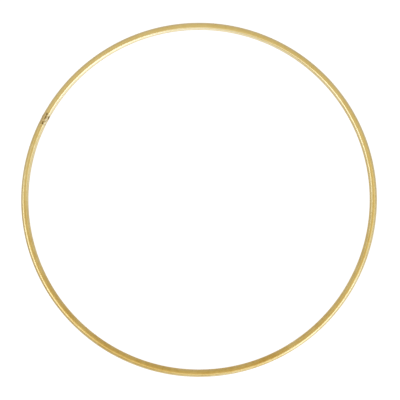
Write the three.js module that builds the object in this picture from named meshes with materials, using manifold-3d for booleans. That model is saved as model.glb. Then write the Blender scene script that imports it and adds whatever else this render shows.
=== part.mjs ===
// A hoop that a wreath is built on: one thin steel tube rolled into a ring. Its two ends meet over a
// pin inside the bore, a weld fills the groove between them, and a plug weld on either side holds the
// pin through a hole in the tube's wall. The whole hoop is plated gold after it is welded.
//
// Millimetres, +Z up. The hoop lies flat on the plane z = 0, with the origin at its centre.

import * as THREE from "three";
import {
  mergeVertices,
  toCreasedNormals,
} from "three/addons/utils/BufferGeometryUtils.js";
import Module from "manifold-3d";

// Driving dimensions.
const HOOP_DIAMETER = 300; // over the outside of the tube
const TUBE_DIAMETER = 6;
const WALL = 0.8;
const JOINT_ANGLE = 152.6; // degrees from +X to the seam, seen from above

const PIN_LENGTH = 30; // along the tube, half of it in each end
const PIN_CLEARANCE = 0.2; // all round, inside the bore
const PIN_CHAMFER = 0.5;

const SEAM_ROOT = 1; // gap between the tube's ends, at the bore
const SEAM_FACE = 2.6; // width of the groove between their bevels, at the outside
const WELD_CROWN = 0.12; // how far the weld stands above the tube, except underneath
const WELD_GAP = 0.05; // kept between each weld and the metal beside it

const PLUG_DIAMETER = 2;
const PLUG_SUNK = 0.15; // from the tube's outside down to the middle of the plug weld's crater
const PLUGS = { plug_weld_upper: -3, plug_weld_lower: 5.6 }; // along the tube, from the seam

// Facets. Each section has flats on its top, underside, inside and outside, so that the hoop measures
// its true size across them and lies on a flat.
const RING_STEPS = 96;
const TUBE_SIDES = 16;
const BORE_SIDES = 12;
const PLUG_SIDES = 20;

// Worked out from those above.
const tubeRadius = TUBE_DIAMETER / 2;
const boreRadius = tubeRadius - WALL;
const pinRadius = boreRadius - PIN_CLEARANCE;
const plugRadius = PLUG_DIAMETER / 2;
const ringRadius = (HOOP_DIAMETER - TUBE_DIAMETER) / 2; // to the middle of the tube

const wasm = await Module();
wasm.setup();

// Solids, which are joined and cut before they become meshes.

function solid(geometry) {
  const bare = geometry.clone();
  bare.deleteAttribute("normal");
  bare.deleteAttribute("uv");
  const merged = mergeVertices(bare);
  return new wasm.Manifold(
    new wasm.Mesh({
      numProp: 3,
      vertProperties: merged.attributes.position.array,
      triVerts: new Uint32Array(merged.index.array),
    }),
  );
}

function geometryOf(manifold) {
  const made = manifold.getMesh();
  const geometry = new THREE.BufferGeometry()
    .setAttribute("position", new THREE.BufferAttribute(made.vertProperties, 3))
    .setIndex(new THREE.BufferAttribute(made.triVerts, 1));
  return toCreasedNormals(geometry, THREE.MathUtils.degToRad(35));
}

// A polygon whose flats, and not its corners, lie at the given radius from (x, 0). It closes on itself.
function flats(radius, sides, x = 0) {
  const corner = radius / Math.cos(Math.PI / sides);
  return Array.from({ length: sides + 1 }, (_, i) => {
    const turn = ((i + 0.5) * 2 * Math.PI) / sides;
    return new THREE.Vector2(
      x + corner * Math.cos(turn),
      corner * Math.sin(turn),
    );
  });
}

// A full ring round the Z axis, with its seam's place on +X.
function ring(radius, sides) {
  const section = flats(radius, sides, ringRadius);
  return solid(
    new THREE.LatheGeometry(section, RING_STEPS).rotateX(Math.PI / 2),
  );
}

// A bar of polygon section along Y, centred on the origin: the tube near the seam, where it is as good
// as straight.
function bar(radius, sides, length) {
  const outline = new THREE.Shape(flats(radius, sides).slice(0, sides));
  return solid(
    new THREE.ExtrudeGeometry(outline, { depth: length, bevelEnabled: false })
      .translate(0, 0, -length / 2)
      .rotateX(Math.PI / 2),
  );
}

// What is turned round the tube's own axis at the seam, from pairs of (radius, place along the tube).
function turned(pairs) {
  const profile = pairs.map(([r, along]) => new THREE.Vector2(r, along));
  return solid(new THREE.LatheGeometry(profile, TUBE_SIDES * 2));
}

// The wedge of all that lies within half a length, along the tube, of the seam.
function wedge(length) {
  const reach = HOOP_DIAMETER;
  const half = length / 2 / ringRadius;
  const outline = new THREE.Shape([
    new THREE.Vector2(0, 0),
    new THREE.Vector2(reach * Math.cos(half), -reach * Math.sin(half)),
    new THREE.Vector2(reach * Math.cos(half), reach * Math.sin(half)),
  ]);
  return solid(
    new THREE.ExtrudeGeometry(outline, {
      depth: 2 * TUBE_DIAMETER,
      bevelEnabled: false,
    }).translate(0, 0, -TUBE_DIAMETER),
  );
}

// Sub-parts, in the hoop's own frame: the tube's middle is at z = 0 and the seam is on +X.

// The V between the bevelled ends, or what fills it when it is made narrower by a gap.
function groove(reach, gap = 0) {
  const root = SEAM_ROOT / 2 - gap;
  const slope = (SEAM_FACE - SEAM_ROOT) / 2 / WALL;
  const face = root + slope * (reach - boreRadius);
  return turned([
    [0, -root],
    [boreRadius, -root],
    [reach, -face],
    [reach, face],
    [boreRadius, root],
    [0, root],
  ]);
}

// A round bar up through the top of the tube, for a plug weld or the hole that it fills.
function plug(radius) {
  return solid(
    new THREE.CylinderGeometry(
      radius,
      radius,
      TUBE_DIAMETER,
      PLUG_SIDES,
    ).rotateX(Math.PI / 2),
  ).translate(0, 0, TUBE_DIAMETER / 2);
}

function alongTube(manifold, distance) {
  const turn = THREE.MathUtils.radToDeg(distance / ringRadius);
  return manifold.translate(ringRadius, 0, 0).rotate(0, 0, turn);
}

function hoopTube() {
  let tube = ring(tubeRadius, TUBE_SIDES)
    .subtract(ring(boreRadius, BORE_SIDES))
    .subtract(groove(tubeRadius * 1.5).translate(ringRadius, 0, 0));
  for (const distance of Object.values(PLUGS))
    tube = tube.subtract(alongTube(plug(plugRadius), distance));
  return tube;
}

function jointPin() {
  const full = ring(pinRadius, BORE_SIDES).intersect(wedge(PIN_LENGTH));
  const slim = ring(pinRadius - PIN_CHAMFER, BORE_SIDES);
  const middle = wedge(PIN_LENGTH - 2 * PIN_CHAMFER);
  return full.intersect(middle).add(slim.intersect(wedge(PIN_LENGTH)));
}

function seamWeld() {
  const crown = tubeRadius + WELD_CROWN;
  const bead = groove(crown, WELD_GAP).subtract(
    bar(pinRadius + WELD_GAP, BORE_SIDES, SEAM_FACE * 2),
  );
  const dressedFlush = solid(
    new THREE.BoxGeometry(TUBE_DIAMETER * 2, SEAM_FACE * 2, TUBE_DIAMETER * 2),
  ).translate(0, 0, TUBE_DIAMETER - tubeRadius);
  return bead.intersect(dressedFlush);
}

function plugWeld() {
  return plug(plugRadius - WELD_GAP)
    .intersect(bar(tubeRadius - PLUG_SUNK, TUBE_SIDES, PLUG_DIAMETER * 2))
    .subtract(bar(pinRadius + WELD_GAP, BORE_SIDES, PLUG_DIAMETER * 2));
}

// Materials.

const plating = new THREE.MeshStandardMaterial({
  color: 0xd2ad5c,
  roughness: 0.32,
  metalness: 1,
});
const burntPlating = new THREE.MeshStandardMaterial({
  color: 0x97703a,
  roughness: 0.55,
  metalness: 1,
});
const steel = new THREE.MeshStandardMaterial({
  color: 0x9a9a98,
  roughness: 0.4,
  metalness: 1,
});

// Assembly.

function piece(name, manifold, material) {
  const mesh = new THREE.Mesh(geometryOf(manifold), material);
  mesh.name = name;
  return mesh;
}

const hoop = new THREE.Group();
hoop.position.z = tubeRadius;
hoop.rotation.z = THREE.MathUtils.degToRad(JOINT_ANGLE);
hoop.add(piece("hoop_tube", hoopTube(), plating));
hoop.add(piece("joint_pin", jointPin(), steel));

const seam = piece("seam_weld", seamWeld(), burntPlating);
seam.position.x = ringRadius;
hoop.add(seam);

for (const [name, distance] of Object.entries(PLUGS)) {
  const weld = piece(name, plugWeld(), burntPlating);
  const turn = distance / ringRadius;
  weld.position.set(
    ringRadius * Math.cos(turn),
    ringRadius * Math.sin(turn),
    0,
  );
  weld.rotation.z = turn;
  hoop.add(weld);
}

const wreathFrame = new THREE.Group();
wreathFrame.add(hoop);

export default wreathFrame;
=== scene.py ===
"""Looks of a wreath frame: one gold-plated steel tube, rolled into a hoop and welded shut.

Every piece is shaped straight first, as if the tube had not been rolled, and is then bent round the
hoop. Straight places have three numbers, in metres: the distance along the tube from the seam, the
distance across it towards the outside of the hoop, and the distance up from the tube's middle line.
The same three numbers are kept on each mesh as the attribute "straight", and the finishes draw their
grain on them, so that it runs along the tube all the way round.
"""

import logging
import math
from dataclasses import dataclass
from enum import Enum
from typing import Any, Union

import bpy
import numpy as np
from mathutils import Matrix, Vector

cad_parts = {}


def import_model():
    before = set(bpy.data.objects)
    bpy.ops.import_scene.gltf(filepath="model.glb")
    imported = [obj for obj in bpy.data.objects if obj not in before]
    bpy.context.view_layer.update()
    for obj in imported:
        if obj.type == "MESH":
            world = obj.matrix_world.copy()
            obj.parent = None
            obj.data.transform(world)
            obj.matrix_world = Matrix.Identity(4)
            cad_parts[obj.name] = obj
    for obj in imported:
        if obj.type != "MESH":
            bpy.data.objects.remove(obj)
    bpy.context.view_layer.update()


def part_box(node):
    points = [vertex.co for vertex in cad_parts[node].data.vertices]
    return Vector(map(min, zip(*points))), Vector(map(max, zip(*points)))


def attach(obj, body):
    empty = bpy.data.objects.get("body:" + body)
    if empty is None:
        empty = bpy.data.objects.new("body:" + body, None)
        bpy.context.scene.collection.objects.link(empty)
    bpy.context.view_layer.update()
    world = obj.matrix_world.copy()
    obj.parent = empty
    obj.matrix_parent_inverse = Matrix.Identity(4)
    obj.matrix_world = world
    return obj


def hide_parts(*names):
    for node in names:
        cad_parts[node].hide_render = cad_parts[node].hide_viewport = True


MM = 0.001
TURN = 2 * math.pi
STRAIGHT = "straight"
SCORCH_AND_PAINTED_LIGHT = "scorch_and_painted_light"
BODY = "root"

# Sockets of a Mix node's colours: each of its kinds of value has sockets of the same names.
MIX_FIRST, MIX_SECOND, MIX_RESULT = 6, 7, 2

Array = np.ndarray
Colour = tuple[float, float, float]
Value = Union["Link", float, Colour]

log = logging.getLogger("wreath_frame")


class Slot(Enum):
    """The finishes' slots."""

    GOLD_PLATING = "gold_plating"
    BURNT_PLATING = "burnt_plating"
    PIN_STEEL = "pin_steel"


# Arithmetic on arrays.


def smooth_step(value: Array, low: float, high: float) -> Array:
    """Eases a value from 0 to 1.

    Args:
        value: What is eased.
        low: Where the result is 0, and it stays 0 below.
        high: Where the result is 1, and it stays 1 above.

    Returns:
        3t^2 - 2t^3, where t is how far the value is from low to high.
    """
    t = np.clip((value - low) / (high - low), 0, 1)
    return t * t * (3 - 2 * t)


def wander(turn: Array, waves: tuple[tuple[float, int], ...], shift: float) -> Array:
    """Sum of sines of a turn, from each one's size and times round, each shifted by one more shift."""
    shifts = (shift * (order + 1) for order in range(len(waves)))
    return sum(size * np.sin(times * turn + by) for (size, times), by in zip(waves, shifts))


@dataclass(frozen=True)
class Unevenness:
    """A smooth random height, the same on every run: a sum of cosine waves in random directions.

    Attributes:
        wave: Typical wavelength, in metres.
        seed: Chooses the waves.
        waves: How many there are.
        spread: The longest and shortest waves, as shares of the typical one.
    """

    wave: float
    seed: int
    waves: int = 20
    spread: tuple[float, float] = (0.6, 1.7)

    def at(self, points: Array) -> Array:
        """The height at each point.

        Args:
            points: Straight places, with three numbers in the last axis.

        Returns:
            The sum of cos(k.p + phase), divided by the root of the number of waves, so about -1 to 1.
        """
        rng = np.random.default_rng(self.seed)
        towards = rng.normal(size=(self.waves, 3))
        towards /= np.linalg.norm(towards, axis=1, keepdims=True)
        length = self.wave * rng.uniform(*self.spread, size=(self.waves, 1))
        phase = rng.uniform(0, TURN, self.waves)
        return np.cos(points @ (TURN * towards / length).T + phase).sum(-1) / math.sqrt(self.waves)


# The hoop's line, and meshes bent round it.


@dataclass(frozen=True)
class HoopLine:
    """The line down the middle of the tube: a level circle, measured from the seam.

    Attributes:
        radius: Radius of the circle.
        height: Its height above the surface that the hoop lies on.
        seam: Angle of the seam, in radians from +X.
    """

    radius: float
    height: float
    seam: float

    @classmethod
    def from_frame(cls) -> "HoopLine":
        """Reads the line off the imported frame, where the seam weld's middle lies on it.

        Returns:
            The line, at the height of the tube's middle.
        """
        low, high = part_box("seam_weld")
        middle = (low + high) / 2
        tube_low, tube_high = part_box("hoop_tube")
        return cls(
            radius=math.hypot(middle.x, middle.y),
            height=(tube_low.z + tube_high.z) / 2,
            seam=math.atan2(middle.y, middle.x),
        )

    @property
    def length(self) -> float:
        """Once round the circle."""
        return TURN * self.radius

    def bend(self, straight: Array) -> Array:
        """Bends straight places round the hoop.

        Args:
            straight: Places with (along, across, up) in the last axis.

        Returns:
            The places in the row frame: the circle's point at that distance along, moved outwards
            by across and upwards by up.
        """
        along, across, up = np.moveaxis(straight, -1, 0)
        angle = self.seam + along / self.radius
        reach = self.radius + across
        return np.stack([reach * np.cos(angle), reach * np.sin(angle), self.height + up], axis=-1)

    def along(self, node: str) -> float:
        """Finds how far along the tube a node is.

        Args:
            node: The CAD node.

        Returns:
            Signed distance from the seam to the node's middle, whichever way round is shorter.
        """
        low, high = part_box(node)
        middle = (low + high) / 2
        turn = math.atan2(middle.y, middle.x) - self.seam
        return math.remainder(turn, TURN) * self.radius


def turns(sides: int) -> Array:
    """Angles once round, evenly spaced, as one row."""
    return np.linspace(0, TURN, sides, endpoint=False)[None, :]


def on_tube(along: Array, around: Array, out: Array) -> Array:
    """Straight places from cylinder coordinates.

    Args:
        along: Distance along the tube.
        around: Angle round the tube, 0 on top and a quarter turn on the outside of the hoop.
        out: Distance from the tube's middle line.

    Returns:
        (along, out sin around, out cos around), stacked in the last axis.
    """
    along, around, out = np.broadcast_arrays(along, around, out)
    return np.stack([along, out * np.sin(around), out * np.cos(around)], axis=-1)


@dataclass
class Form:
    """A closed surface in straight places: loops of points, one row to a loop.

    Attributes:
        loops: Points, as rows by columns by 3. Each row closes on itself.
        closed: True if the last row joins the first. Otherwise each end is closed with a point at the
            middle of its row.
        scorch_and_painted_light: How burnt each point is, with the painted shade of the toe and the
            painted highlights of the ripples in it, from 0 to 1, as rows by columns.
        chart: Places of the rows' and columns' corners on a flat map, or None for no map.
    """

    loops: Array
    closed: bool
    scorch_and_painted_light: Array
    chart: Array | None = None

    def faces(self) -> tuple[Array, Array]:
        """Joins the points into faces.

        Returns:
            The four-sided faces, and the three-sided ones that close the ends.
        """
        rows, columns = self.loops.shape[:2]
        index = np.arange(rows * columns).reshape(rows, columns)
        if self.closed:
            here, after = index, np.roll(index, -1, axis=0)
        else:
            here, after = index[:-1], index[1:]
        quads = np.stack([here, np.roll(here, -1, 1), np.roll(after, -1, 1), after], -1).reshape(-1, 4)
        if self.closed:
            return quads, np.empty((0, 3), int)
        first, last = index[0], index[-1]
        start_pole, end_pole = index.size, index.size + 1
        start = np.stack([np.full(columns, start_pole), np.roll(first, -1), first], -1)
        end = np.stack([np.full(columns, end_pole), last, np.roll(last, -1)], -1)
        return quads, np.concatenate([start, end])

    def listed(self, values: Array) -> Array:
        """Lists a value for every point, in the order that faces() counts them.

        Args:
            values: The loops or the scorch, as rows by columns.

        Returns:
            The values in one row, and then one for the middle of each end that is closed.
        """
        flat = values.reshape(-1, *values.shape[2:])
        if self.closed:
            return flat
        return np.concatenate([flat, values[[0, -1]].mean(axis=1)])


def enclosed_volume(points: Array, quads: Array, triangles: Array) -> float:
    """Six times the signed volume inside a closed surface.

    Args:
        points: Its points.
        quads: Its four-sided faces.
        triangles: Its three-sided faces.

    Returns:
        The sum of a.(b x c) over the corners a, b and c of all its triangles, which is more than 0
        where the faces point outwards.
    """
    corners = np.concatenate([quads[:, [0, 1, 2]], quads[:, [0, 2, 3]], triangles])
    a, b, c = np.moveaxis(points[corners], 1, 0)
    return float(np.einsum("ij,ij->", a, np.cross(b, c)))


@dataclass(frozen=True)
class Bench:
    """Where straight forms are bent and made into pieces.

    Attributes:
        line: The hoop's line.
        crease: Edges that turn more than this stay sharp, in radians.
    """

    line: HoopLine
    crease: float = math.radians(40)

    def make(self, name: str, form: Form, material: bpy.types.Material, slot: Slot) -> None:
        """Makes a finished piece that rides on the hoop and stands for the node of its name.

        The piece is at the origin, with its place in its mesh.

        Args:
            name: The CAD node that the piece stands for.
            form: Its shape in straight places.
            material: Its finish.
            slot: The finish's slot. Not used.
        """
        quads, triangles = form.faces()
        straight = form.listed(form.loops)
        bent = self.line.bend(straight)
        outwards = enclosed_volume(bent, quads, triangles) > 0
        if not outwards:
            quads, triangles = quads[:, ::-1], triangles[:, ::-1]
        mesh = bpy.data.meshes.new(name)
        mesh.from_pydata(bent.tolist(), [], quads.tolist() + triangles.tolist())
        mesh.attributes.new(STRAIGHT, "FLOAT_VECTOR", "POINT").data.foreach_set(
            "vector", straight.astype(np.float32).ravel()
        )
        mesh.attributes.new(SCORCH_AND_PAINTED_LIGHT, "FLOAT", "POINT").data.foreach_set(
            "value", form.listed(form.scorch_and_painted_light).astype(np.float32)
        )
        if form.chart is not None:
            chart = form.chart if outwards else form.chart[:, ::-1]
            mesh.uv_layers.new(name="OFBake").uv.foreach_set("vector", chart.astype(np.float32).ravel())
        mesh.shade_smooth()
        mesh.set_sharp_from_angle(angle=self.crease)
        mesh.materials.append(material)
        piece = bpy.data.objects.new(name + "_piece", mesh)
        bpy.context.scene.collection.objects.link(piece)
        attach(piece, BODY)
        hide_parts(name)
        log.info("%s: %d points, %d faces", piece.name, len(mesh.vertices), len(mesh.polygons))


# Marks that welding left round the joint.


@dataclass(frozen=True)
class Skin:
    """Places on the tube's surface.

    Attributes:
        along: Distances along the tube from the seam.
        around: Angles round it, in radians from the top towards the outside of the hoop.
        radius: Radius of the tube.
    """

    along: Array
    around: Array
    radius: float

    def straight(self) -> Array:
        """The same as straight places."""
        return on_tube(self.along, self.around, self.radius)

    def aside(self, middle: float = 0.0) -> Array:
        """Distance round the tube from an angle, in millimetres, whichever way round is shorter."""
        return (np.remainder(self.around - middle + math.pi, TURN) - math.pi) * self.radius / MM


@dataclass(frozen=True)
class Mark:
    """One oval mark on the tube's surface.

    Attributes:
        along: Distance from the seam to its middle, in millimetres.
        around: Angle round the tube to its middle, in degrees from the top towards the outside.
        length: Half of its length along the tube, in millimetres.
        width: Half of its width round the tube, in millimetres.
        height: How far its middle stands out of the surface, or below it if negative, in millimetres.
        scorch_and_painted_light: How burnt its middle is, up to 1, or below 0 where it is painted lighter
            than what is round it, as a painted highlight.
        fullness: Power of the distance that it fades with: the higher, the flatter its middle.
    """

    along: float
    around: float
    length: float
    width: float
    height: float = 0.0
    scorch_and_painted_light: float = 0.0
    fullness: float = 2.6

    def cover(self, skin: Skin) -> Array:
        """How strongly the mark shows at each place, from 1 at its middle to 0 well outside.

        Args:
            skin: The places.

        Returns:
            exp(-d^fullness), where d is the distance from the middle as a share of the half sizes.
        """
        aside = skin.aside(math.radians(self.around))
        ahead = skin.along / MM - self.along
        square = (ahead / self.length) ** 2 + (aside / self.width) ** 2
        return np.exp(-(square ** (self.fullness / 2)))


@dataclass(frozen=True)
class Crease:
    """A crooked groove on the tube's surface, through a few points.

    Attributes:
        points: Its points, each a distance from the seam in millimetres and an angle in degrees.
        width: Half of its width, in millimetres.
        height: How far it stands out of the surface, in millimetres, or below it if negative.
        scorch_and_painted_light: How burnt it is, which on the toe's creases also paints shade in the
            groove.
    """

    points: tuple[tuple[float, float], ...]
    width: float
    height: float
    scorch_and_painted_light: float

    def cover(self, skin: Skin) -> Array:
        """How strongly it shows at each place.

        Args:
            skin: The places.

        Returns:
            exp(-d^2), where d is the distance to its nearest stretch as a share of its half width.
        """
        place = np.stack(np.broadcast_arrays(skin.along / MM, skin.aside()), axis=-1)
        corners = [np.array([s, math.radians(turn) * skin.radius / MM]) for s, turn in self.points]
        nearest = np.full(place.shape[:-1], np.inf)
        for start, end in zip(corners, corners[1:]):
            way = end - start
            share = np.clip((place - start) @ way / (way @ way), 0, 1)
            gap = np.linalg.norm(place - start - share[..., None] * way, axis=-1)
            nearest = np.minimum(nearest, gap)
        return np.exp(-((nearest / self.width) ** 2))


@dataclass(frozen=True)
class Scars:
    """All the marks round the joint, with a haze of burnt plating that fades away from the seam.

    Attributes:
        marks: The separate marks.
        haze: How burnt the surface is in the middle of the haze.
        middle: Distance along the tube to the middle of the haze.
        reach: Half of the haze's length.
        level: Share of that half over which the haze doesn't fade.
        patches: The haze's unevenness.
        patchiness: Strength of that unevenness.
    """

    marks: tuple[Union[Mark, Crease], ...]
    haze: float = 0.16
    middle: float = 2.2 * MM
    reach: float = 10 * MM
    level: float = 0.3
    patches: Unevenness = Unevenness(wave=2.4 * MM, seed=11)
    patchiness: float = 0.45

    def height(self, skin: Skin) -> Array:
        """Sum of the marks' heights at each place."""
        return sum(mark.height * MM * mark.cover(skin) for mark in self.marks)

    def scorch_and_painted_light(self, skin: Skin) -> Array:
        """How burnt each place is, from 0 to 1.

        Args:
            skin: The places.

        Returns:
            The haze, uneven and fading along the tube, or the strongest mark where that is more, less
            the marks painted lighter than what is round them as painted highlights.
        """
        fade = 1 - smooth_step(np.abs(skin.along - self.middle), self.reach * self.level, self.reach)
        uneven = 1 + self.patchiness * self.patches.at(skin.straight())
        most = self.haze * fade * uneven
        # Marks below 0 are painted lighter than the haze round them: painted highlights.
        painted_highlights = np.zeros_like(most)
        for mark in self.marks:
            if mark.scorch_and_painted_light > 0:
                most = np.maximum(most, mark.scorch_and_painted_light * mark.cover(skin))
            elif mark.scorch_and_painted_light < 0:
                painted_highlights = painted_highlights + mark.scorch_and_painted_light * mark.cover(skin)
        return np.clip(most + painted_highlights, 0, 1)


@dataclass(frozen=True)
class Spatter:
    """Small drops of weld metal, and pits between them, scattered over the tube near the seam.

    Attributes:
        count: How many drops there are, and how many pits.
        reach: They lie within about this distance of their middle, in millimetres.
        seed: Chooses their places and sizes.
        middle: Distance along the tube to the middle of them, in millimetres.
        swing: The furthest that they are from the top, in degrees round the tube.
        sizes: The smallest and largest half length, in millimetres.
        stretch: The least and most width, as a share of the length.
        relief: Height of a drop, and depth of a pit, as a share of its half length.
        scorch_and_painted_light: How burnt the pits are.
    """

    count: int
    reach: float
    seed: int
    middle: float = 2.0
    swing: float = 120.0
    sizes: tuple[float, float] = (0.14, 0.34)
    stretch: tuple[float, float] = (0.8, 1.2)
    relief: float = 0.45
    scorch_and_painted_light: float = 0.45

    def marks(self) -> tuple[Mark, ...]:
        """Scatters them.

        Returns:
            The drops, then the pits.
        """
        rng = np.random.default_rng(self.seed)
        made = []
        for sign in (1, -1):
            for _ in range(self.count):
                size = rng.uniform(*self.sizes)
                made.append(
                    Mark(
                        along=float(rng.normal(self.middle, self.reach / 2)),
                        around=float(rng.uniform(-self.swing, self.swing)),
                        length=size,
                        width=size * rng.uniform(*self.stretch),
                        height=sign * size * self.relief,
                        scorch_and_painted_light=0.0 if sign > 0 else self.scorch_and_painted_light,
                    )
                )
        return tuple(made)


def joint_scars(upper: float, lower: float) -> Scars:
    """The marks that the joint's three welds left, on whichever piece is outermost.

    Args:
        upper: Distance from the seam to the upper plug weld, in millimetres.
        lower: The same for the lower one.

    Returns:
        The craters in the three welds, the toe of the seam weld and the notch that it leaves on the
        inside of the hoop, darkened by burning and by painted shade in their grooves, burnt blotches on
        the outside, a few ripples painted lighter as painted highlights, and spatter.
    """
    # Each mark's place along and round the tube, half length, half width, height, and how burnt it is,
    # which on the toe also paints shade and on the ripples, below 0, paints highlights.
    craters = (
        Mark(lower + 0.1, -9, 0.85, 0.70, -0.26, 0.92),
        Mark(lower - 1.1, -3, 1.05, 0.55, -0.10, 0.55),
        Mark(0.0, -9, 1.75, 0.62, -0.20, 0.74),
        Mark(1.4, -6, 1.40, 0.75, -0.05, 0.42),
        Mark(-1.7, -4, 1.10, 0.50, -0.06, 0.50),
        Mark(upper, -3, 0.90, 0.74, -0.20, 0.80),
    )
    undercut = ((4.2, -12), (3.7, -28), (3.0, -40), (2.0, -54), (0.6, -64), (-2.4, -67))
    # The toe's creases and notch marks are dark partly from burnt colour and partly as painted shade in
    # the undercut and the notch.
    toe = (
        Crease(undercut, width=0.22, height=-0.09, scorch_and_painted_light=0.72),
        Crease(undercut, width=0.62, height=0.0, scorch_and_painted_light=0.36),
        Mark(-1.1, -64, 1.80, 0.85, -0.14, 0.95),
        Mark(lower, -64, 1.30, 0.55, -0.04, 0.36),
        Mark(0.2, -150, 1.0, 0.45, -0.08, 0.60),
        Mark(-0.3, 135, 0.8, 0.45, -0.08, 0.55),
    )
    blotches = (
        Mark(0.8, 40, 4.6, 1.7, 0.0, 0.27),
        Mark(4.5, 46, 0.60, 0.45, -0.05, 0.45),
        Mark(2.1, 31, 0.80, 0.45, -0.05, 0.42),
        Mark(-1.1, 38, 0.60, 0.50, -0.05, 0.42),
        Mark(lower + 3.2, 0, 0.90, 0.80, -0.04, 0.30),
        Mark(lower + 0.4, -38, 0.60, 0.90, -0.03, 0.34),
    )
    # The ripples stand out of the surface and are painted lighter than the burnt haze round them: painted
    # highlights where their tops catch the light.
    ripples = (
        Mark(lower + 1.5, -28, 0.50, 0.80, 0.09, -0.30),
        Mark(lower - 1.0, -35, 0.65, 0.50, 0.09, -0.30),
        Mark(lower + 1.6, 5, 0.45, 1.10, 0.05, -0.10),
        Mark(1.0, -32, 1.60, 0.50, 0.05, -0.05),
    )
    return Scars(craters + toe + blotches + ripples + Spatter(16, 9, seed=5).marks())


# Shader nodes.


class Link:
    """An output socket that Python's arithmetic works on, by adding Math nodes."""

    def __init__(self, sheet: "NodeSheet", socket: bpy.types.NodeSocket) -> None:
        """Wraps one output socket of a sheet of nodes."""
        self.sheet = sheet
        self.socket = socket

    def _maths(self, operation: str, first: Value, second: Value = 0.0) -> "Link":
        """Adds one Math node on two values."""
        return self.sheet.out("ShaderNodeMath", {"operation": operation}, {0: first, 1: second})

    def __add__(self, other: Value) -> "Link":
        """self + other."""
        return self._maths("ADD", self, other)

    __radd__ = __add__

    def __mul__(self, other: Value) -> "Link":
        """self * other."""
        return self._maths("MULTIPLY", self, other)

    __rmul__ = __mul__

    def __sub__(self, other: Value) -> "Link":
        """self - other."""
        return self._maths("SUBTRACT", self, other)

    def __rsub__(self, other: Value) -> "Link":
        """other - self."""
        return self._maths("SUBTRACT", other, self)

    def clamped(self) -> "Link":
        """self kept from 0 to 1."""
        return self.sheet.out("ShaderNodeClamp", {}, {0: self})

    def eased(self, low: float, high: float) -> "Link":
        """self eased from 0 at low and below it to 1 at high and above it."""
        settings = {"interpolation_type": "SMOOTHSTEP"}
        return self.sheet.out("ShaderNodeMapRange", settings, {0: self, 1: low, 2: high})


class NodeSheet:
    """The node tree of one material or world, and the ways that nodes are added to it."""

    def __init__(self, tree: bpy.types.NodeTree) -> None:
        """Empties a node tree."""
        self.tree = tree
        tree.nodes.clear()

    @classmethod
    def for_material(cls, name: str) -> tuple[bpy.types.Material, "NodeSheet"]:
        """Makes a material.

        Args:
            name: Its name.

        Returns:
            The material, and its sheet with nothing on it.
        """
        material = bpy.data.materials.new(name)
        material.use_nodes = True
        return material, cls(material.node_tree)

    def node(self, kind: str, settings: dict[str, Any], inputs: dict[Any, Value]) -> bpy.types.Node:
        """Adds any node.

        Args:
            kind: The node's type.
            settings: Its own settings, which are set first. "stops" are a ramp's (place, colour)s.
            inputs: The values or links of its sockets, by name or number.

        Returns:
            The node.
        """
        made = self.tree.nodes.new(kind)
        for name, value in settings.items():
            if name == "stops":
                self._set_stops(made.color_ramp, value)
            else:
                setattr(made, name, value)
        for key, value in inputs.items():
            if isinstance(value, Link):
                self.tree.links.new(value.socket, made.inputs[key])
            else:
                room = getattr(made.inputs[key].default_value, "__len__", lambda: 0)()
                made.inputs[key].default_value = (*value, 1.0) if room == 4 else value
        return made

    @staticmethod
    def _set_stops(ramp: bpy.types.ColorRamp, stops: list[tuple[float, Colour]]) -> None:
        """Gives a ramp its stops.

        Args:
            ramp: The ramp, which starts with two.
            stops: Each stop's place and colour, at least two of them.
        """
        while len(ramp.elements) < len(stops):
            ramp.elements.new(1.0)
        for element, (place, colour) in zip(ramp.elements, stops):
            element.position = place
            element.color = (*colour, 1.0)

    def out(
        self, kind: str, settings: dict[str, Any], inputs: dict[Any, Value], output: Any = 0
    ) -> Link:
        """Adds a node as node() does, and returns one of its outputs, by name or number."""
        return Link(self, self.node(kind, settings, inputs).outputs[output])

    def attribute(self, name: str, output: str) -> Link:
        """A value kept on the mesh: output is "Vector" or "Fac"."""
        return self.out("ShaderNodeAttribute", {"attribute_name": name}, {}, output)

    def stretched(self, vector: Link, scale: Colour) -> Link:
        """A vector times a scale for each axis."""
        return self.out("ShaderNodeVectorMath", {"operation": "MULTIPLY"}, {0: vector, 1: scale})

    def dot(self, vector: Link, towards: Colour) -> Link:
        """How far a vector reaches in a direction."""
        pair = {0: vector, 1: towards}
        return self.out("ShaderNodeVectorMath", {"operation": "DOT_PRODUCT"}, pair, "Value")

    def noise(self, vector: Link, wave: float, detail: float = 2.0, rough: float = 0.5) -> Link:
        """Cloudy noise, mostly from 0.3 to 0.7, whose largest lumps have the size of wave."""
        inputs = {"Vector": vector, "Scale": 1 / wave, "Detail": detail, "Roughness": rough}
        return self.out("ShaderNodeTexNoise", {"noise_dimensions": "3D"}, inputs, "Fac")

    def mixed(self, share: Value, first: Value, second: Value) -> Link:
        """A colour between two others: the first where share is 0, the second where it is 1."""
        inputs = {"Factor": share, MIX_FIRST: first, MIX_SECOND: second}
        return self.out("ShaderNodeMix", {"data_type": "RGBA"}, inputs, MIX_RESULT)

    def ramp(self, value: Link, stops: list[tuple[float, Colour]]) -> Link:
        """A colour read off a ramp."""
        return self.out("ShaderNodeValToRGB", {"stops": stops}, {"Fac": value}, "Color")

    def bumped(self, height: Link, depth: float) -> Link:
        """A normal tilted by a height, where a height of 1 stands out by depth, in metres."""
        return self.out("ShaderNodeBump", {}, {"Height": height, "Distance": depth}, "Normal")

    def finish(self, **inputs: Value) -> None:
        """Ends a material with a Principled shader.

        Args:
            inputs: Its sockets, by name, with _ for a space.
        """
        named = {key.replace("_", " "): value for key, value in inputs.items()}
        shader = self.node("ShaderNodeBsdfPrincipled", {}, named)
        output = self.node("ShaderNodeOutputMaterial", {}, {})
        self.tree.links.new(shader.outputs["BSDF"], output.inputs["Surface"])


# Finishes.


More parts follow.
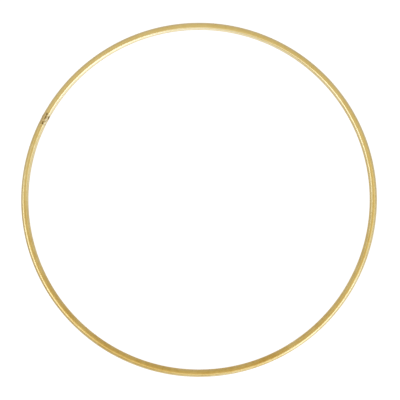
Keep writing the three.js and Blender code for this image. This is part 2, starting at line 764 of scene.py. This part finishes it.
@dataclass(frozen=True)
class Plating:
    """Satin gold plating on drawn steel tube, which welding burns brown.

    Attributes:
        name: The material's name.
        deep: Its colour where it is deepest.
        gold: Its middle colour.
        pale: Its colour where it is palest.
        painted_lit_side: Bearing of the side of the hoop that is painted palest, as painted light where
            more light falls, in degrees from +X.
        painted_light_slope: How much paler the gold is painted for each metre towards that side, where 1
            is from deep to pale.
        straw: Where the heat has only tinted it.
        brown: Where it is burnt.
        soot: Where it is burnt away.
        rim: Tint of the metal where it is seen edge on.
        roughness: Of clean plating.
        burnt_roughness: Of burnt plating.
        cloud: Size of the slow clouds of paler and deeper plating.
        mottle: Size of the finer mottling.
        line: Width of the lines that drawing left along the tube.
        smear: Width of the duller smears.
        speck: Size of the straw-coloured specks.
        crumb: Size of the lumps on burnt plating.
        clouding: How much the clouds change the colour, where 1 is from deep to pale.
        mottling: The same for the mottling.
        lining: The same for the lines.
        speckling: Strength of the specks.
        slenderness: Widths of the lines and of the smears, as shares of their lengths.
        smeared: Where the noise of the smears starts to show and is full.
        specked: The same for the specks.
        patchiness: How much the mottling, the lines and the smears change the roughness.
        crumbling: How much the lumps on burnt plating change how burnt it is.
        tinting: Strength of the straw tint.
        tinted: How burnt it is where the straw tint starts and is full.
        browned: The same for brown.
        sooted: The same for soot.
        dulled: The same for the roughness of burnt plating.
        bared: How much less metallic soot is.
        grain: Depth of the drawn lines.
        orange_peel: Depth of the plating's own fine lumps.
        crust: Depth of the lumps on burnt plating.
        least_scorch: How burnt all of it is.
    """

    name: str = "gold_plating"
    deep: Colour = (0.690, 0.405, 0.105)
    gold: Colour = (0.865, 0.610, 0.250)
    pale: Colour = (0.965, 0.715, 0.365)
    painted_lit_side: float = 85.0
    painted_light_slope: float = 1.9
    straw: Colour = (0.700, 0.480, 0.240)
    brown: Colour = (0.370, 0.245, 0.080)
    soot: Colour = (0.160, 0.078, 0.012)
    rim: Colour = (0.550, 0.400, 0.220)
    roughness: float = 0.30
    burnt_roughness: float = 0.62
    cloud: float = 34 * MM
    mottle: float = 3.2 * MM
    line: float = 0.35 * MM
    smear: float = 4 * MM
    speck: float = 0.5 * MM
    crumb: float = 0.6 * MM
    clouding: float = 0.8
    mottling: float = 0.5
    lining: float = 0.6
    speckling: float = 0.3
    slenderness: tuple[float, float] = (0.03, 0.25)
    smeared: tuple[float, float] = (0.52, 0.7)
    specked: tuple[float, float] = (0.68, 0.78)
    patchiness: tuple[float, float, float] = (0.12, 0.10, 0.07)
    crumbling: float = 0.8
    tinting: float = 0.75
    tinted: tuple[float, float] = (0.04, 0.3)
    browned: tuple[float, float] = (0.26, 0.6)
    sooted: tuple[float, float] = (0.6, 0.9)
    dulled: tuple[float, float] = (0.05, 0.7)
    bared: float = 0.35
    grain: float = 0.004 * MM
    orange_peel: float = 0.003 * MM
    crust: float = 0.05 * MM
    least_scorch: float = 0.0

    def material(self) -> bpy.types.Material:
        """Builds the material.

        Returns:
            Gold painted paler towards one side of the hoop and deeper on the other, as painted light,
            with slow clouds, fine lines along the tube and a few duller smears, and burnt colours by the
            mesh's own scorch_and_painted_light, which also paints shade in the weld's toe and highlights
            on its ripples, broken up by noise.
        """
        material, sheet = NodeSheet.for_material(self.name)
        straight = sheet.attribute(STRAIGHT, "Vector")
        clouds = sheet.noise(straight, self.cloud, detail=3)
        mottle = sheet.noise(straight, self.mottle, detail=4, rough=0.6)
        long, longish = (sheet.stretched(straight, (share, 1, 1)) for share in self.slenderness)
        drawn = sheet.noise(long, self.line, detail=3, rough=0.65)
        smears = sheet.noise(longish, self.smear).eased(*self.smeared)
        specks = sheet.noise(straight, self.speck, detail=1).eased(*self.specked)

        # Painted light: the gold is painted paler towards one side of the hoop and deeper on the other,
        # for the light that falls more on that side.
        # The noises have a mean of a half, which middle takes out again.
        bearing = math.radians(self.painted_lit_side)
        towards = (self.painted_light_slope * math.cos(bearing), self.painted_light_slope * math.sin(bearing), 0.0)
        painted_light = sheet.dot(sheet.out("ShaderNodeTexCoord", {}, {}, "Object"), towards)
        middle = (self.clouding + self.mottling + self.lining) / 2
        uneven = clouds * self.clouding + mottle * self.mottling + drawn * self.lining - middle
        stops = [(0.0, self.deep), (0.5, self.gold), (1.0, self.pale)]
        clean = sheet.ramp(painted_light + uneven + 0.5, stops)
        clean = sheet.mixed(specks * self.speckling, clean, self.straw)

        broken = sheet.noise(straight, self.crumb, detail=3, rough=0.6)
        crumbled = 1 - self.crumbling / 2 + broken * self.crumbling
        # This value carries burnt colour, and also painted shade in the weld's toe and painted highlights
        # on its ripples.
        burn_and_painted_light = (sheet.attribute(SCORCH_AND_PAINTED_LIGHT, "Fac") + self.least_scorch) * crumbled
        sooty = burn_and_painted_light.eased(*self.sooted)
        colour = sheet.mixed(burn_and_painted_light.eased(*self.tinted) * self.tinting, clean, self.straw)
        colour = sheet.mixed(burn_and_painted_light.eased(*self.browned), colour, self.brown)
        colour = sheet.mixed(sooty, colour, self.soot)

        mottled, lined, smeary = self.patchiness
        smooth = self.roughness + (mottle - 0.5) * mottled + (drawn - 0.5) * lined + smears * smeary
        dulled = smooth + (self.burnt_roughness - self.roughness) * burn_and_painted_light.eased(*self.dulled)
        height = drawn * self.grain + mottle * self.orange_peel + broken * burn_and_painted_light.clamped() * self.crust
        sheet.finish(
            Base_Color=colour,
            Metallic=1 - sooty * self.bared,
            Roughness=dulled.clamped(),
            Specular_Tint=self.rim,
            Normal=sheet.bumped(height * (1 / MM), MM),
        )
        return material


@dataclass(frozen=True)
class TurnedSteel:
    """Bare steel of the pin, turned on a lathe.

    Attributes:
        name: The material's name.
        bright: Colour of the clean metal.
        dull: Colour of the oily clouds on it.
        roughness: Of the clean metal.
        groove: Spacing of the tool's marks along the pin.
        depth: Depth of those marks.
        waver: How much those marks waver.
        cloud: Size of the clouds.
        clouded: Where the noise of the clouds starts to show and is full.
        clouding: How much they change the roughness.
    """

    name: str = "pin_steel"
    bright: Colour = (0.52, 0.51, 0.50)
    dull: Colour = (0.33, 0.31, 0.29)
    roughness: float = 0.34
    groove: float = 0.25 * MM
    depth: float = 0.01 * MM
    waver: float = 0.4
    cloud: float = 4 * MM
    clouded: tuple[float, float] = (0.35, 0.65)
    clouding: float = 0.2

    def material(self) -> bpy.types.Material:
        """Builds the material.

        Returns:
            Grey clouds, with a fine wave along the pin as its height.
        """
        material, sheet = NodeSheet.for_material(self.name)
        straight = sheet.attribute(STRAIGHT, "Vector")
        clouds = sheet.noise(straight, self.cloud, detail=3)
        rings = sheet.out(
            "ShaderNodeTexWave",
            {"wave_type": "BANDS", "bands_direction": "X"},
            {"Vector": straight, "Scale": 1 / self.groove / TURN, "Distortion": self.waver},
            "Fac",
        )
        sheet.finish(
            Base_Color=sheet.mixed(clouds.eased(*self.clouded), self.bright, self.dull),
            Metallic=1.0,
            Roughness=(self.roughness + (clouds - 0.5) * self.clouding).clamped(),
            Normal=sheet.bumped(rings, self.depth),
        )
        return material


# Pieces.


@dataclass(frozen=True)
class Joint:
    """Sizes that the pieces at the joint share.

    Attributes:
        outer: Radius of the tube.
        wall: Thickness of its wall.
        root: Gap between the tube's ends, at the bore.
        face: Width of the groove between their bevels, at the outside.
        pin_gap: Clearance of the pin in the bore.
        upper: Distance along the tube to the upper plug weld.
        lower: Distance along the tube to the lower plug weld.
        scars: The marks that welding left.
    """

    outer: float
    upper: float
    lower: float
    scars: Scars
    wall: float = 0.8 * MM
    root: float = 1.0 * MM
    face: float = 2.6 * MM
    pin_gap: float = 0.2 * MM

    @classmethod
    def from_frame(cls, line: HoopLine) -> "Joint":
        """Reads the tube's size and the plug welds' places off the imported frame.

        Args:
            line: The hoop's line.

        Returns:
            The joint, with the marks that welding left on it.
        """
        low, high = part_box("hoop_tube")
        upper = line.along("plug_weld_upper")
        lower = line.along("plug_weld_lower")
        scars = joint_scars(upper / MM, lower / MM)
        return cls(outer=(high.z - low.z) / 2, upper=upper, lower=lower, scars=scars)

    @property
    def bore(self) -> float:
        """Radius of the tube's bore."""
        return self.outer - self.wall

    @property
    def pin(self) -> float:
        """Radius of the pin."""
        return self.bore - self.pin_gap

    def skin(self, along: Array, around: Array) -> Skin:
        """Places on the tube, from distances along it from the seam and angles round it."""
        return Skin(along, around, self.outer)


@dataclass
class HoopTube:
    """The rolled tube: an outer wall, a bore, and a bevel at each end.

    Attributes:
        line: The hoop's line.
        joint: Sizes at the joint.
        steps: Rows along half of the outer wall, close together near the seam.
        close: Spacing of the rows next to the seam.
        growth: Bounds on how fast that spacing grows away from it.
        halvings: How many times those bounds are halved to find it.
        sides: Columns round the tube.
        bore_steps: Rows along the bore.
        strips: How many strips the outer wall is cut into on its flat map.
        margin: Free border of each strip, as a share of it.
        sway: How far rolling has left the wall uneven.
        rolled: That unevenness.
        plug_hole: Radius of the holes that the plug welds fill.
        plug_depth: Depth of those holes.
        hole_wall: Where a hole's wall ends and starts, as shares of its radius.
        bore_scorch: How burnt the bore is.
    """

    line: HoopLine
    joint: Joint
    steps: int = 520
    close: float = 0.15 * MM
    growth: tuple[float, float] = (0.1, 12.0)
    halvings: int = 60
    sides: int = 64
    bore_steps: int = 240
    strips: int = 7
    margin: float = 0.02
    sway: float = 0.02 * MM
    rolled: Unevenness = Unevenness(wave=55 * MM, seed=3, waves=14)
    plug_hole: float = 1.0 * MM
    plug_depth: float = 0.55 * MM
    hole_wall: tuple[float, float] = (0.8, 1.15)
    bore_scorch: float = 0.1

    def rows(self) -> Array:
        """Places of the outer wall's rows, as distances along the tube from one end to the other.

        Returns:
            Distances that grow from each end as sinh(b t), so that they start close together, with
            b found by halving so that their spacing next to the seam is the one wanted.
        """
        half = (self.line.length - self.joint.face) / 2
        low, high = self.growth
        for _ in range(self.halvings):
            middle = (low + high) / 2
            if self.close * self.steps * math.sinh(middle) / middle < half:
                low = middle
            else:
                high = middle
        t = np.linspace(0, 1, self.steps + 1)
        from_end = half * np.sinh(low * t) / math.sinh(low)
        first = self.joint.face / 2 + from_end
        second = self.line.length - first[:-1][::-1]
        return np.concatenate([first, second])

    def from_seam(self, along: Array) -> Array:
        """Signed distance from the seam, whichever way round is shorter."""
        return np.where(along > self.line.length / 2, along - self.line.length, along)

    def outer_wall(self, along: Array, around: Array) -> Array:
        """Radius of the outer wall at each place.

        Args:
            along: Distances along the tube, one to a row.
            around: Angles round it, one to a column.

        Returns:
            The tube's radius, less a slow unevenness, plus the heights of the marks, less the two
            holes that the plug welds fill.
        """
        skin = self.joint.skin(self.from_seam(along), around)
        rolled = self.rolled.at(on_tube(along, around, self.joint.outer))
        radius = self.joint.outer - self.sway * (1 + rolled) / 2 + self.joint.scars.height(skin)
        for plug in (self.joint.upper, self.joint.lower):
            distance = np.hypot(skin.along - plug, skin.aside() * MM)
            filled = smooth_step(distance / self.plug_hole, *self.hole_wall)
            radius = radius - self.plug_depth * (1 - filled)
        return radius

    def chart(self, along: Array) -> Array:
        """The flat map: the outer wall in strips side by side, and the bore in one more.

        Args:
            along: Distances along the tube of all rows, the first again at the end.

        Returns:
            Four corners to a face, each a place from 0 to 1 across the map.
        """
        outer_faces = 2 * self.steps
        share = along / self.line.length
        strip = np.full(len(share) - 1, self.strips)
        middles = (share[:-1] + share[1:]) / 2
        strip[:outer_faces] = np.minimum(middles[:outer_faces] * self.strips, self.strips - 1).astype(int)
        across = np.arange(self.sides + 1) / self.sides
        inside = 1 - 2 * self.margin
        corners = []
        for row, column in ((0, 0), (0, 1), (1, 1), (1, 0)):
            u = share[row : len(share) - 1 + row]
            within = np.where(strip < self.strips, u * self.strips - strip, u)
            level = np.broadcast_to(across[column : self.sides + column], (len(strip), self.sides))
            corners.append(
                np.stack(
                    [
                        np.broadcast_to((self.margin + inside * within)[:, None], level.shape),
                        (strip[:, None] + self.margin + inside * level) / (self.strips + 1),
                    ],
                    axis=-1,
                )
            )
        return np.stack(corners, axis=2).reshape(-1, 4, 2)

    def form(self) -> Form:
        """The tube as one closed surface.

        Returns:
            Loops along the outer wall, then back along the bore. The steps between the two are the
            bevels at the tube's ends.
        """
        around = turns(self.sides)
        outer = self.rows()
        inset = (self.joint.face - self.joint.root) / 2
        bore = np.linspace(outer[-1] + inset, outer[0] - inset, self.bore_steps)
        wall = self.outer_wall(outer[:, None], around)
        loops = np.concatenate(
            [
                on_tube(outer[:, None], around, wall),
                on_tube(bore[:, None], around, self.joint.bore),
            ]
        )
        burnt = self.joint.scars.scorch_and_painted_light(self.joint.skin(self.from_seam(outer)[:, None], around))
        scorch_and_painted_light = np.concatenate([burnt, np.full((self.bore_steps, self.sides), self.bore_scorch)])
        along = np.concatenate([outer, bore, outer[:1]])
        return Form(loops, closed=True, scorch_and_painted_light=scorch_and_painted_light, chart=self.chart(along))


@dataclass
class SeamWeld:
    """The weld that fills the groove and laps a little over the tube on both sides.

    Attributes:
        joint: Sizes at the joint.
        sides: Columns round the weld.
        crown_rows: Rows across its outside.
        crown: How far its middle stands above the tube.
        toe: How far its edges dip under the tube's surface.
        lap: How far it laps along the tube from the seam, at its narrowest.
        flare: How much further it laps on top of the tube, on the side of the lower plug weld.
        other_flare: The same on the other side, as a share of that.
        flare_lean: Angle round the tube from the middle of the flare to the top, in degrees.
        flare_bounds: Cosines of the angles round the tube where the flare starts and is full.
        wanders: The edges' slow and quick wander: how far, and how many times round the tube.
        dressing: Cosines of the angles round the tube between which the crown is dressed off.
        ripple: Height of the ripples across it.
        ripple_spacing: Distance between them, round the tube.
        ripple_bow: How far each ripple bows round the tube, from its middle to its edges.
        lumps: Its unevenness.
        lump_height: Height of that unevenness.
        root_scorch: How burnt it is inside the groove.
    """

    joint: Joint
    sides: int = 240
    crown_rows: int = 72
    crown: float = 0.14 * MM
    toe: float = 0.05 * MM
    lap: float = 1.6 * MM
    flare: float = 2.5 * MM
    other_flare: float = 0.2
    flare_lean: float = 4.0
    flare_bounds: tuple[float, float] = (0.40, 0.97)
    wanders: tuple[tuple[float, int], ...] = ((0.14 * MM, 3), (0.08 * MM, 7))
    dressing: tuple[float, float] = (-0.75, -0.35)
    ripple: float = 0.018 * MM
    ripple_spacing: float = 0.55 * MM
    ripple_bow: float = 0.9 * MM
    lumps: Unevenness = Unevenness(wave=1.3 * MM, seed=8, waves=26)
    lump_height: float = 0.035 * MM
    root_scorch: float = 0.4

    def half_width(self, around: Array, side: int) -> Array:
        """How far the weld laps along the tube on one side of the seam.

        Args:
            around: Angles round the tube.
            side: 1 for the side towards the lower plug weld, -1 for the other.

        Returns:
            The narrow lap, plus the flare where the tube faces up, plus a wander.
        """
        on_top = smooth_step(np.cos(around + math.radians(self.flare_lean)), *self.flare_bounds)
        flare = self.flare * on_top * (1.0 if side > 0 else self.other_flare)
        return self.lap + flare + wander(around, self.wanders, side)

    def outside(self, skin: Skin, share: Array) -> Array:
        """Radius of the weld's outside.

        Args:
            skin: The places.
            share: Distance from the seam as a share of the lap, from -1 to 1.

        Returns:
            A crown of height 1 - share^2, rippled and lumpy, whose edges dip under the tube. The
            crown is dressed off underneath, where the hoop lies on it.
        """
        dressed = smooth_step(np.cos(skin.around), *self.dressing)
        crowned = self.crown * (1 - share**2) * dressed
        phase = TURN * (skin.around * skin.radius + self.ripple_bow * share**2) / self.ripple_spacing
        uneven = self.ripple * np.sin(phase) + self.lump_height * self.lumps.at(skin.straight())
        uneven = uneven * dressed * (1 - share**4)
        return skin.radius + crowned + uneven + self.joint.scars.height(skin) - self.toe * share**6

    def form(self) -> Form:
        """The weld as one closed ring.

        Returns:
            Loops round the tube, across the crown, back under the lap, down one side of the groove,
            across the root, and up the other side.
        """
        around = turns(self.sides)
        share = np.linspace(-1, 1, self.crown_rows)[:, None]
        width = np.where(share > 0, self.half_width(around, 1), self.half_width(around, -1))
        skin = self.joint.skin(share * width, around)
        crown = on_tube(skin.along, around, self.outside(skin, share))
        under_lap = self.joint.outer - 3 * self.toe
        down = [
            (self.joint.face / 2, under_lap),
            (self.joint.root / 2, self.joint.bore),
            (-self.joint.root / 2, self.joint.bore),
            (-self.joint.face / 2, under_lap),
        ]
        sides = np.concatenate([on_tube(place, around, out) for place, out in down])
        loops = np.concatenate([crown, sides])
        burnt = self.joint.scars.scorch_and_painted_light(skin)
        scorch_and_painted_light = np.concatenate([burnt, np.full((len(down), self.sides), self.root_scorch)])
        return Form(loops, closed=True, scorch_and_painted_light=scorch_and_painted_light)


@dataclass
class PlugWeld:
    """A small weld through a hole in the top of the tube: a crater with a raised rim.

    Attributes:
        name: The CAD node that it stands for.
        joint: Sizes at the joint.
        along: Its distance along the tube from the seam.
        seed: Chooses its unevenness.
        shank: Radius of the part in the hole.
        rim: How far the rim stands above the tube.
        rim_radius: Radius of the rim's ridge.
        rim_width: Half of the ridge's width, as a share of its radius.
        rim_scorch: How much more burnt the rim is.
        reach: Radius of the rim's foot.
        wanders: Its outline's unevenness: how far as a share, and how many times round it.
        foot: How far the foot dips under the tube's surface.
        foot_start: Where it starts to dip, as a share of the reach.
        lump: Size of its lumps.
        lump_waves: How many waves make them up.
        lump_height: Height of its lumps.
        heel: Depth below the tube's outside at which the part in the hole starts.
        clearance: Clearance to the pin.
        hole_scorch: How burnt it is in the hole.
        sides: Columns round it.
        rows: Rows from its middle to its foot.
        first_row: Radius of the first of them, as a share of the reach.
    """

    name: str
    joint: Joint
    along: float
    seed: int
    shank: float = 0.95 * MM
    rim: float = 0.11 * MM
    rim_radius: float = 1.12 * MM
    rim_width: float = 0.3
    rim_scorch: float = 0.10
    reach: float = 1.55 * MM
    wanders: tuple[tuple[float, int], ...] = ((0.10, 2), (0.06, 5))
    foot: float = 0.08 * MM
    foot_start: float = 0.75
    lump: float = 0.7 * MM
    lump_waves: int = 18
    lump_height: float = 0.03 * MM
    heel: float = 0.5 * MM
    clearance: float = 0.05 * MM
    hole_scorch: float = 0.5
    sides: int = 96
    rows: int = 36
    first_row: float = 0.02

    def form(self) -> Form:
        """The weld as one closed surface.

        Returns:
            Loops from its middle out over the rim to its foot, back in under the foot, and down the
            hole to the pin. Its top lies on the tube, raised by the rim and lowered by the marks.
        """
        turn = turns(self.sides)
        distance = np.linspace(self.first_row, 1, self.rows)[:, None] * self.reach
        outline = distance * (1 + wander(turn, self.wanders, self.seed))
        ahead, aside = outline * np.cos(turn), outline * np.sin(turn)
        skin = self.joint.skin(self.along + ahead, np.arcsin(aside / self.joint.outer))
        ridge = np.exp(-(((distance / self.rim_radius - 1) / self.rim_width) ** 2))
        lumps = Unevenness(self.lump, self.seed, self.lump_waves)
        uneven = lumps.at(np.stack([ahead, aside, np.zeros_like(ahead)], axis=-1))
        edge = smooth_step(distance / self.reach, self.foot_start, 1.0)
        radius = self.joint.outer + self.rim * ridge + self.lump_height * uneven - self.foot * edge
        top = on_tube(skin.along, skin.around, radius + self.joint.scars.height(skin))
        walls = []
        for up in (self.joint.outer - self.heel, self.joint.pin + self.clearance):
            level = np.full_like(turn, up)
            across = self.shank * np.sin(turn)
            walls.append(np.stack([self.along + self.shank * np.cos(turn), across, level], axis=-1))
        loops = np.concatenate([top, *walls])
        burnt = np.clip(self.joint.scars.scorch_and_painted_light(skin) + self.rim_scorch * ridge, 0, 1)
        scorch_and_painted_light = np.concatenate([burnt, np.full((len(walls), self.sides), self.hole_scorch)])
        return Form(loops, closed=False, scorch_and_painted_light=scorch_and_painted_light)


@dataclass
class JointPin:
    """The pin inside the bore, a round bar with chamfered ends.

    Attributes:
        joint: Sizes at the joint.
        length: Its length.
        chamfer: Size of the chamfers.
        steps: Rows along it.
        sides: Columns round it.
    """

    joint: Joint
    length: float = 30 * MM
    chamfer: float = 0.5 * MM
    steps: int = 90
    sides: int = 48

    def form(self) -> Form:
        """The pin as one closed surface.

        Returns:
            Loops along it, narrower by the chamfer at both ends.
        """
        around = turns(self.sides)
        half = self.length / 2
        inner = np.linspace(-half + self.chamfer, half - self.chamfer, self.steps)
        along = np.concatenate([[-half], inner, [half]])[:, None]
        out = np.full_like(along, self.joint.pin)
        out[[0, -1]] -= self.chamfer
        loops = on_tube(along, around, out)
        return Form(loops, closed=False, scorch_and_painted_light=np.zeros(loops.shape[:2]))


@dataclass
class WreathFrame:
    """The whole hoop.

    Attributes:
        bench: Where its pieces are made.
        joint: Sizes at the joint.
        gold: The clean plating's finish.
        burnt: The welds' finish.
        steel: The pin's finish.
    """

    bench: Bench
    joint: Joint
    gold: Plating = Plating()
    burnt: Plating = Plating(
        name="burnt_plating",
        roughness=0.40,
        grain=0.0,
        orange_peel=0.012 * MM,
        least_scorch=0.06,
    )
    steel: TurnedSteel = TurnedSteel()

    def build(self) -> None:
        """Makes and dresses every piece."""
        gold, burnt = self.gold.material(), self.burnt.material()
        make = self.bench.make
        tube = HoopTube(self.bench.line, self.joint)
        make("hoop_tube", tube.form(), gold, Slot.GOLD_PLATING)
        make("seam_weld", SeamWeld(self.joint).form(), burnt, Slot.BURNT_PLATING)
        upper = PlugWeld("plug_weld_upper", self.joint, self.joint.upper, seed=4, reach=1.35 * MM)
        lower = PlugWeld("plug_weld_lower", self.joint, self.joint.lower, seed=21)
        for plug in (upper, lower):
            make(plug.name, plug.form(), burnt, Slot.BURNT_PLATING)
        make("joint_pin", JointPin(self.joint).form(), self.steel.material(), Slot.PIN_STEEL)


# The studio.


@dataclass(frozen=True)
class SoftBox:
    """A rectangular soft light that faces the hoop.

    Attributes:
        name: Its name.
        bearing: Where it stands, in degrees from +X round the hoop.
        rise: Its angle above the floor, in degrees.
        distance: How far it is from the hoop's middle.
        width: Its width.
        height: Its height.
        radiance: How bright its face is, in red, green and blue.
    """

    name: str
    bearing: float
    rise: float
    distance: float
    width: float
    height: float
    radiance: Colour

    def place(self) -> None:
        """Sets the light up.

        Its power is its face's area times pi times its radiance, which is what gives an area light
        that radiance.
        """
        lamp = bpy.data.lights.new(self.name, "AREA")
        lamp.shape = "RECTANGLE"
        lamp.size = self.width
        lamp.size_y = self.height
        brightest = max(self.radiance)
        lamp.energy = brightest * math.pi * self.width * self.height
        lamp.color = [part / brightest for part in self.radiance]
        light = bpy.data.objects.new(self.name, lamp)
        bearing, rise = math.radians(self.bearing), math.radians(self.rise)
        towards = Vector(
            (math.cos(bearing) * math.cos(rise), math.sin(bearing) * math.cos(rise), math.sin(rise))
        )
        light.location = towards * self.distance
        light.rotation_euler = towards.to_track_quat("Z", "Y").to_euler()
        light.visible_camera = False
        bpy.context.scene.collection.objects.link(light)
        log.info("light %s", self.name)


@dataclass(frozen=True)
class Surroundings:
    """Dim light from all round, which changes with height and is brighter towards one side.

    Attributes:
        heights: Sines of the angles above the horizon at which the colours are given.
        plain: Colour and brightness at those heights, on the dim side.
        bright: The same on the bright side.
        front: Where the bright side is, in degrees from +X.
    """

    heights: tuple[float, ...] = (-0.20, 0.08, 0.40)
    plain: tuple[Colour, ...] = ((0.75, 0.80, 0.75), (0.41, 0.57, 1.01), (0.65, 0.65, 0.46))
    bright: tuple[Colour, ...] = ((1.26, 1.59, 2.32), (0.53, 0.76, 1.39), (0.65, 0.65, 0.46))
    front: float = 298.0

    def place(self) -> None:
        """Makes the world from those colours: a ramp by height for each side, mixed by bearing."""
        world = bpy.data.worlds.new("surroundings")
        bpy.context.scene.world = world
        world.use_nodes = True
        sheet = NodeSheet(world.node_tree)
        direction = sheet.out("ShaderNodeTexCoord", {}, {}, "Generated")
        up = sheet.out("ShaderNodeSeparateXYZ", {}, {0: direction}, "Z") * 0.5 + 0.5
        front = math.radians(self.front)
        frontal = sheet.dot(direction, (math.cos(front), math.sin(front), 0.0)).clamped()
        places = [sine * 0.5 + 0.5 for sine in self.heights]
        plain = sheet.ramp(up, list(zip(places, self.plain)))
        bright = sheet.ramp(up, list(zip(places, self.bright)))
        light = sheet.node("ShaderNodeBackground", {}, {"Color": sheet.mixed(frontal, plain, bright)})
        output = sheet.node("ShaderNodeOutputWorld", {}, {})
        sheet.tree.links.new(light.outputs[0], output.inputs[0])


@dataclass(frozen=True)
class LitTable:
    """A plain white table top, lit through from below, that rises into a wall far away.

    Attributes:
        radius: Where it starts to rise.
        wall: Height of the wall.
        glow: How bright it is by itself.
        white: Its own colour.
        gap: Clearance below the hoop.
        sides: Columns round it.
        bends: Rows up the bend from the table into the wall, and one more.
        pinhole: Radius of the small face that closes its middle.
    """

    radius: float = 5.0
    wall: float = 4.0
    glow: float = 0.96
    white: float = 0.12
    gap: float = 0.02 * MM
    sides: int = 96
    bends: int = 12
    pinhole: float = 1 * MM

    def place(self) -> None:
        """Sets the table up.

        It is a disc turned about Z, whose rim goes up a quarter circle into the wall. The hoop
        doesn't mirror it, only the dimmer room.
        """
        turn = turns(self.sides)
        bend = np.linspace(0, math.pi / 2, self.bends)[1:]
        curve = self.wall / 2
        flat = [self.pinhole, self.radius / 4, self.radius]
        reach = np.concatenate([flat, self.radius + curve * np.sin(bend)])
        rise = np.concatenate([np.zeros(len(flat)), curve * (1 - np.cos(bend))])
        reach = np.append(reach, reach[-1])[:, None]
        rise = np.append(rise, self.wall)[:, None]
        points = np.stack([reach * np.cos(turn), reach * np.sin(turn), rise + 0 * turn - self.gap], -1)
        rows, columns = points.shape[:2]
        index = np.arange(rows * columns).reshape(rows, columns)
        here, after = index[:-1], index[1:]
        quads = np.stack([here, after, np.roll(after, -1, 1), np.roll(here, -1, 1)], -1).reshape(-1, 4)
        mesh = bpy.data.meshes.new("lit_table")
        faces = quads.tolist() + [index[0].tolist()]
        mesh.from_pydata(points.reshape(-1, 3).tolist(), [], faces)
        mesh.shade_smooth()
        material, sheet = NodeSheet.for_material("white_table")
        grey = (self.white,) * 3
        sheet.finish(
            Base_Color=grey, Roughness=0.9, Emission_Color=(1.0, 1.0, 1.0), Emission_Strength=self.glow
        )
        mesh.materials.append(material)
        table = bpy.data.objects.new("lit_table", mesh)
        table.visible_glossy = False
        table.visible_shadow = False
        bpy.context.scene.collection.objects.link(table)


@dataclass(frozen=True)
class ProductCamera:
    """A camera that looks down on the hoop, a little from the front.

    Attributes:
        lens: Focal length, in millimetres.
        sensor: Width of the sensor, in millimetres.
        distance: How far it is from the hoop's middle.
        lean: Its angle from straight down, towards -Y, in degrees.
        aim: The point that it looks at, from the middle of the hoop.
        clip: The nearest and furthest that it sees.
    """

    lens: float = 85.0
    sensor: float = 36.0
    distance: float = 0.7966
    lean: float = 5.5
    aim: tuple[float, float, float] = (0.8 * MM, -2.8 * MM, 0.0)
    clip: tuple[float, float] = (0.01, 50.0)

    def place(self, middle: Vector) -> None:
        """Sets the camera up, with +Y up in its picture.

        Args:
            middle: The middle of the hoop.
        """
        camera = bpy.data.cameras.new("product_camera")
        camera.lens = self.lens
        camera.sensor_width = self.sensor
        camera.clip_start, camera.clip_end = self.clip
        holder = bpy.data.objects.new("product_camera", camera)
        lean = math.radians(self.lean)
        back = Vector((0, -math.sin(lean), math.cos(lean)))
        holder.location = middle + Vector(self.aim) + back * self.distance
        holder.rotation_euler = (lean, 0, 0)
        bpy.context.scene.collection.objects.link(holder)
        bpy.context.scene.camera = holder


@dataclass(frozen=True)
class Studio:
    """Plain soft light, a white table and the camera.

    Attributes:
        camera: The camera.
        table: What the hoop lies on.
        surroundings: The dim light from all round.
        lights: The soft lights. Each has its bearing, rise, distance, width, height and radiance.
    """

    camera: ProductCamera = ProductCamera()
    table: LitTable = LitTable()
    surroundings: Surroundings = Surroundings()
    lights: tuple[SoftBox, ...] = (
        SoftBox("left_window", 196, 40, 1.6, 1.15, 0.60, (1.30, 1.82, 3.15)),
        SoftBox("right_window", 318, 32, 1.6, 1.15, 0.60, (1.12, 1.71, 3.40)),
        SoftBox("right_fill", 345, 42, 1.6, 1.10, 0.56, (0.42, 0.64, 1.28)),
        SoftBox("front_low", 300, 13, 1.6, 1.10, 0.50, (0.87, 1.33, 2.65)),
        SoftBox("front_near", 275, 35, 0.5, 0.30, 0.20, (0.54, 0.67, 0.94)),
        SoftBox("right_near", 0, 55, 0.5, 0.30, 0.20, (0.33, 0.32, 0.20)),
        SoftBox("left_near", 230, 50, 0.5, 0.30, 0.20, (0.52, 0.58, 0.62)),
        SoftBox("overhead", 140, 60, 0.8, 0.56, 0.30, (0.12, 0.19, 0.37)),
    )

    def place(self, middle: Vector) -> None:
        """Sets everything up.

        Args:
            middle: The middle of the hoop.
        """
        self.camera.place(middle)
        self.table.place()
        self.surroundings.place()
        for light in self.lights:
            light.place()
        bpy.context.scene.view_settings.view_transform = "Standard"


def main() -> None:
    """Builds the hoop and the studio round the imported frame."""
    logging.basicConfig(level=logging.INFO, format="%(name)s: %(message)s")
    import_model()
    line = HoopLine.from_frame()
    WreathFrame(Bench(line), Joint.from_frame(line)).build()
    Studio().place(Vector((0, 0, line.height)))


if __name__ == "__main__":
    main()
